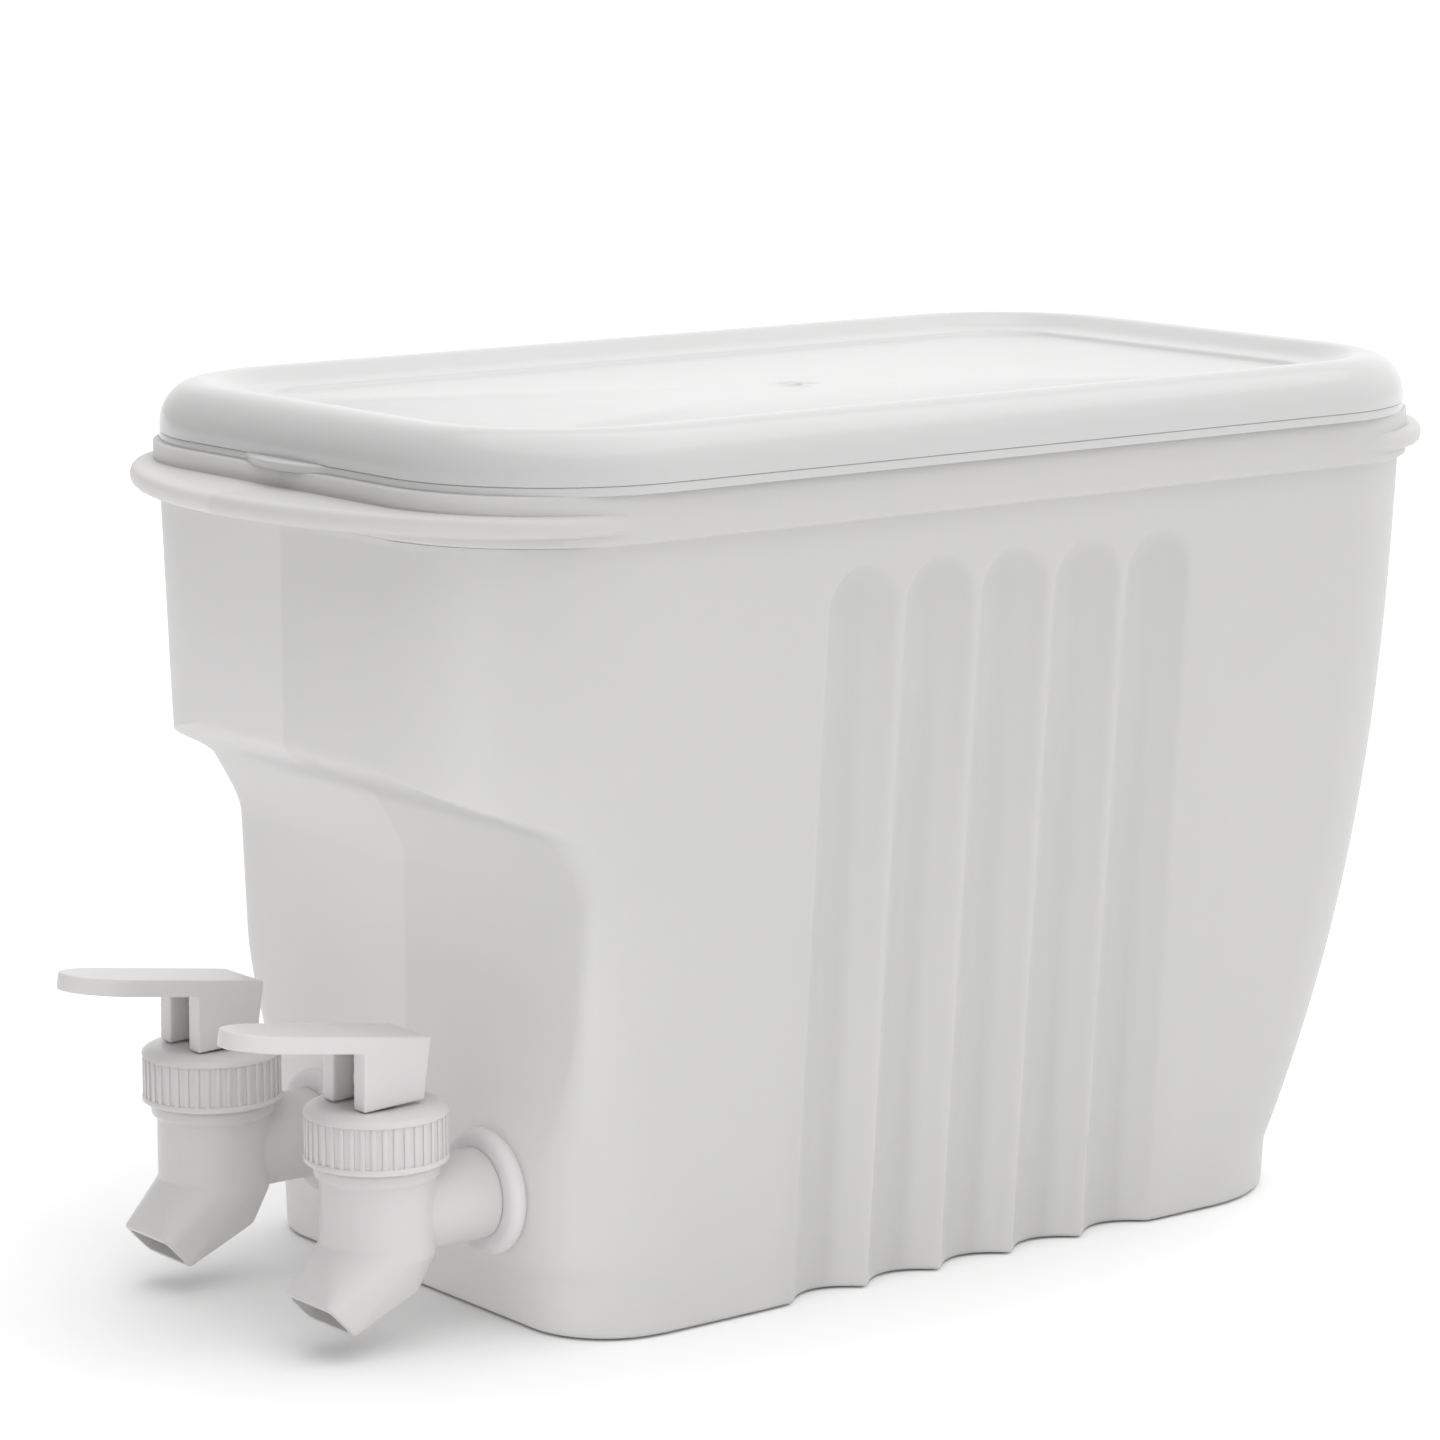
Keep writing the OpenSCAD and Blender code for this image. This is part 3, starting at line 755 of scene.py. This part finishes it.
# %% Cap nut
cup = turned("cup", [(13.7, 43.9), (16.4, 43.9), (16.75, 44.2), (16.8, 44.9), (16.55, 45.35), (16.1, 45.5),
                     (16.1, 54.7), (16.5, 54.95), (16.75, 55.2), (16.6, 55.9), (15.9, 56.5), (14.6, 57.1),
                     (13.4, 57.4), (5.0, 57.4), (4.65, 57.1), (4.65, 55.1), (13.7, 55.1)], 160, loop=True)
ROOT, BEVEL = -1.0, 0.15  # each rib starts inside the cup, and its edges are bevelled
rib_rings = []
for h, grow in ((0.9, 0.0), (1.5, 1.0), (6.0, 1.0), (10.6, 1.0), (11.2, 0.0)):
    half, out = 0.40 + 0.20 * grow, 0.15 + 0.32 * grow
    rib_rings.append([(ROOT, -half, h), (out - BEVEL, -half, h), (out, -half * 0.55, h),
                      (out, half * 0.55, h), (out - BEVEL, half, h), (ROOT, half, h)])
rib = loft("rib", rib_rings, crease=60)
rib_sizes = {"Ribs": 40, "Radius": 16.1 * MM}
tree, plan, size = group("set_ribs", rib_sizes)
ring = plan.put("GeometryNodeMeshCircle", inputs={"Vertices": size["Ribs"], "Radius": size["Radius"]})
number = plan.put("GeometryNodeInputIndex")
turn = plan.put("ShaderNodeCombineXYZ", inputs={2: number * (2 * math.pi) / size["Ribs"]})
turn = plan.put("FunctionNodeEulerToRotation", inputs={0: turn})
bars = plan.put("GeometryNodeInstanceOnPoints", inputs={"Points": ring, "Instance": size["Mesh"],
                                                        "Rotation": turn})
made = plan.put("GeometryNodeRealizeInstances", inputs={0: bars})
made = plan.put("GeometryNodeSetMaterial", inputs={"Geometry": made, "Material": tap_finish})
plan.put("NodeGroupOutput", inputs={0: made})
ribs = placed(run(rib, tree, rib_sizes), move=(0, 0, 43.9))
cap_nut_right = joined("ribbed_cap_nut_right", [cup, ribs], 42)
print("cap nut:", len(cap_nut_right.data.polygons), "faces with", rib_sizes["Ribs"], "ribs")

# %% [markdown]
# The press lever is a flat paddle with a rounded nose, and two cheeks under its rear end that straddle the
# stem's head. Pressing the nose down rolls the cheeks' front corners on the cap and lifts the stem. It is
# made level, melted into one skin for its soft edges, drilled for the stem's pegs, and then tilted nose up.

# %% Lever
def slab(name, flat, z0, z1):
    """A flat shape between two heights."""
    flat = np.asarray(flat, float)
    return loft(name, [np.column_stack([flat, np.full(len(flat), h)]) for h in (z0, z1)])


PIVOT_Z, TILT = 62.5, math.radians(-8.5)  # height of the pegs, and the lever's angle at rest
LEVER_HALF, NOSE_Y, NOSE_REACH = 8.6, -28.4, 14.5
nose = [(LEVER_HALF * math.cos(math.radians(a)), NOSE_Y + NOSE_REACH * math.sin(math.radians(a)))
        for a in range(183, 358, 3)]
paddle = slab("paddle", [(-LEVER_HALF, 8.1), (-LEVER_HALF, NOSE_Y)] + nose
              + [(LEVER_HALF, NOSE_Y), (LEVER_HALF, 8.1)], 7.4, 11.5)
cheeks = []
for side in (-1, 1):
    cheek = [(-8.1, -6.1), (8, -3), (8.1, 8.2), (-10.1, 8.2)]
    cheeks.append(loft("cheek", [[(side * w, cy, cz) for cy, cz in cheek] for w in (4.1, LEVER_HALF)]))
lever_right = moulded(joined("lever_moulding_right", [paddle] + cheeks), 0.33, 5)
for side in (-1, 1):
    pocket = turned("pocket", [(0, 3), (2.08, 3), (2.08, 6.7), (0, 6.7)], 48)
    carve(lever_right, placed(pocket, Matrix.Rotation(side * math.pi / 2, 4, "Y")), crease=50)
placed(lever_right, Matrix.Rotation(TILT, 4, "X"), (0, 0, PIVOT_Z))
lever_right.name = "lever_moulding_right"
print("lever:", len(lever_right.data.polygons), "faces")

# %% [markdown]
# A soft washer seals each tap against the tank's wall. It is a thick ring with a full round edge, slightly
# pinched where it meets the wall.

# %% Outer washer
WASHER_R, ROUND = 15, 2.25  # outer radius, and the radius of the full round edge
edge = [(WASHER_R - ROUND + ROUND * math.cos(a), ROUND + ROUND * math.sin(a))
        for a in np.linspace(-math.pi / 2, math.pi / 2, 17)]
washer_right = turned("wall_washer_right", [(HOLE_R, 0.2), (8.5, 0)] + edge + [(8.5, 4.5), (HOLE_R, 4.3)], 128,
                      loop=True)
placed(washer_right, LAY, (0, WALL_Y, TAP_Z))
print("washer:", len(washer_right.data.polygons), "faces")

# %% [markdown]
# The stem is a turned rod with a spring collar, flats near its head and two pegs. Its head shows between the
# lever's cheeks.

# %% Stem
ROD_R, FLAT = 4.2, 3.75  # the rod's radius, and how far each flat is from the axis
rod = turned("rod", [(0, 29.2), (6, 29.2), (6, 33), (8, 33), (8.2, 33.2), (8.2, 34.8), (8, 35), (ROD_R, 35),
                     (ROD_R, 56.5), (0, 56.5)], 96)
shaft = turned("shaft", [(0, 55), (ROD_R, 55), (ROD_R, PIVOT_Z), (0, PIVOT_Z)], 96)
flats = loft("flats", [[(-FLAT, -10, h), (FLAT, -10, h), (FLAT, 10, h), (-FLAT, 10, h)] for h in (54, 70)])
carve(shaft, flats, "INTERSECT")
ACROSS = Matrix.Rotation(math.pi / 2, 4, "Y")  # turns an upright solid to lie from side to side
head = turned("head", [(0, -FLAT), (3.8, -FLAT), (3.8, FLAT), (0, FLAT)], 72)
pegs = turned("pegs", [(0, -6.3), (1.8, -6.3), (2, -6.1), (2, 6.1), (1.8, 6.3), (0, 6.3)], 48)
for part in (head, pegs):
    placed(part, ACROSS, (0, 0, PIVOT_Z))
stem_right = joined("stem_moulding_right", [rod, shaft, head, pegs])
print("stem:", len(stem_right.data.polygons), "faces")

# %% [markdown]
# A coil spring sits on each stem's collar and pushes it down.
# Geometry Nodes sweep a round wire along a spiral.

# %% Springs
SPRING_Z, SPRING_END = 35.9, 51.6  # heights of the lowest and the highest turn's middle
spring_sizes = {"Turns": 5.5, "Coil radius": 6.6 * MM, "Length": (SPRING_END - SPRING_Z) * MM,
                "Wire": 0.6 * MM}
tree, plan, size = group("coil_spring", spring_sizes)
spiral = plan.put("GeometryNodeCurveSpiral", inputs={
    "Resolution": 40, "Rotations": size["Turns"], "Start Radius": size["Coil radius"],
    "End Radius": size["Coil radius"], "Height": size["Length"]})
section = plan.put("GeometryNodeCurvePrimitiveCircle", inputs={"Resolution": 12, "Radius": size["Wire"]})
coil = plan.put("GeometryNodeCurveToMesh", inputs={"Curve": spiral, "Profile Curve": section,
                                                   "Fill Caps": True})
made = plan.put("GeometryNodeRealizeInstances", inputs={0: coil})
made = plan.put("GeometryNodeSetMaterial", inputs={"Geometry": made, "Material": steel_finish})
plan.put("NodeGroupOutput", inputs={0: made})
for word, side in (("left", -TAP_X), ("right", TAP_X)):
    spring = run(starter("valve_spring_" + word), tree, spring_sizes)
    placed(spring, move=(side, TAP_Y, SPRING_Z))
    soften(spring.data, 50)
    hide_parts("spring_" + word)
    side * MM
    side * MM
    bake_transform(spring)
print("springs:", len(spring.data.polygons), "faces each")

# %% [markdown]
# Both taps are the same moulding, so the left ones are copies. Each piece is moved to its tap's place in its
# mesh, rides on its CAD body, stands for its CAD node and takes that node's finish.

# %% Place and attach
def attach(piece, body, node, finish):
    """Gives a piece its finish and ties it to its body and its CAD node."""
    piece.data.materials.clear()
    piece.data.materials.append(finish)
    for face in piece.data.polygons:
        face.material_index = 0
    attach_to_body(piece, body)
    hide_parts(node)


attach(tank_shell, "tank_body", "tank", tank_finish)
attach(lid_shell, "lid_body", "lid", lid_finish)
for piece, body, node, finish, slot in (
        (tap_moulding_right, "tank_body", "tap_body_right", tap_finish, "tap_plastic"),
        (cap_nut_right, "tank_body", "cap_nut_right", tap_finish, "tap_plastic"),
        (lever_right, "lever_right_body", "lever_right", tap_finish, "tap_plastic"),
        (stem_right, "stem_right_body", "stem_right", tap_finish, "tap_plastic"),
        (washer_right, "tank_body", "outer_washer_right", silicone_finish, "silicone")):
    twin = piece.copy()
    twin.data = piece.data.copy()
    twin.name = piece.name.replace("right", "left")
    bpy.context.scene.collection.objects.link(twin)
    for copy, side, word in ((piece, TAP_X, "right"), (twin, -TAP_X, "left")):
        placed(copy, move=(side, TAP_Y, 0))
        attach(copy, body.replace("right", word), node.replace("right", word), finish)

# %% [markdown]
# The other small parts of the taps keep their CAD shapes, which are already right: valve plugs, stem seals,
# inner washers and lock nuts. They only need their finishes.

# %% Finishes on the CAD parts
kept = {"valve_plug": silicone_finish, "stem_seal": silicone_finish, "inner_washer": silicone_finish,
        "lock_nut": tap_finish}
for name, node in frame["nodes"].items():
    finish = kept.get(name.rsplit("_", 1)[0])
    if finish:
        node.data.materials.clear()
        node.data.materials.append(finish)
print("CAD parts with a finish:", sum(1 for n in frame["nodes"] if n.rsplit("_", 1)[0] in kept))

# %% [markdown]
# The studio: a large pale floor, a very soft sky light from above, and a white surround. The surround is a
# little darker towards the front left, which gives the taps and the lid's end their shading, and brighter far
# behind, where the flat panel of the lid mirrors it. A small low lamp lights only the tank's shell, so that the
# recess under the overhang doesn't go dark.

# %% Floor
FLOOR_HALF = 8
floor_mesh = bpy.data.meshes.new("studio_floor")
corners = [(x * FLOOR_HALF, y * FLOOR_HALF, -0.0004) for x, y in ((-1, -1), (1, -1), (1, 1), (-1, 1))]
floor_mesh.from_pydata(corners, [], [(0, 1, 2, 3)])
floor = bpy.data.objects.new("studio_floor", floor_mesh)
bpy.context.scene.collection.objects.link(floor)
paper = bpy.data.materials.new("floor_paper")
paper.use_nodes = True
plan = Plan(paper.node_tree)
plan.put("ShaderNodeTexCoord")
fibre = plan.put("ShaderNodeTexNoise", inputs={"Vector": plan.other("Object"), "Scale": 40.0, "Detail": 2.0})
sheet = plan.put("ShaderNodeBsdfPrincipled", inputs={"Base Color": (0.96, 0.96, 0.96, 1),
                                                     "Roughness": 0.85 + fibre * 0.1})
plan.put("ShaderNodeOutputMaterial", inputs={"Surface": sheet})
floor.data.materials.append(paper)
print("floor is", 2 * FLOOR_HALF, "m wide")

# %% Lights
def lamp(name, kind, power):
    """A light with its object, and both of them."""
    light = bpy.data.lights.new(name, kind)
    light.energy = power
    holder = bpy.data.objects.new(name, light)
    bpy.context.scene.collection.objects.link(holder)
    return light, holder


SKY_FROM = Vector((0.10, 0.15, 0.98))
FILL_PLACE, FILL_AIM = Vector((0.3, -0.95, 0.03)), Vector((0, -0.11, 0.05))
key, sky_light = lamp("soft_sky_light", "SUN", 1.6)
key.angle = math.radians(80)
sky_light.rotation_euler = SKY_FROM.to_track_quat("Z", "Y").to_euler()
fill, low_fill = lamp("low_fill", "SPOT", 17.5)
fill.spot_size, fill.spot_blend, fill.shadow_soft_size = math.radians(20), 1.0, 0.12
low_fill.location = FILL_PLACE
low_fill.rotation_euler = (FILL_AIM - FILL_PLACE).to_track_quat("-Z", "Y").to_euler()
shell_only = bpy.data.collections.new("lit_by_low_fill")
shell_only.objects.link(tank_shell)
low_fill.light_linking.receiver_collection = shell_only
low_fill.light_linking.blocker_collection = shell_only

# %% White surround
world = bpy.data.worlds.new("white_surround")
bpy.context.scene.world = world
world.use_nodes = True
plan = Plan(world.node_tree)
plan.put("ShaderNodeTexCoord")
way = plan.other("Generated")
east = plan.put("ShaderNodeSeparateXYZ", inputs={0: way})
north = plan.other("Y")
height = plan.other("Z")
behind = (north * 0.606 - east * 0.775 + height * 0.18).most(0.0)  # 1 where the lid's panel mirrors it
ahead = (0.0 - north * 0.85 - east * 0.5).most(0.0)                # largest towards the front left
tone = 0.80 + east * 0.08 + north * 0.20 + behind ** 4.0 * 0.28 - ahead * ahead * 0.4
sky = plan.put("ShaderNodeBackground", inputs={"Color": (1, 1, 1, 1), "Strength": tone})
plan.put("ShaderNodeOutputWorld", inputs={"Surface": sky})
bpy.context.scene.view_settings.view_transform = "Standard"
print("surround has", len(world.node_tree.nodes), "nodes")
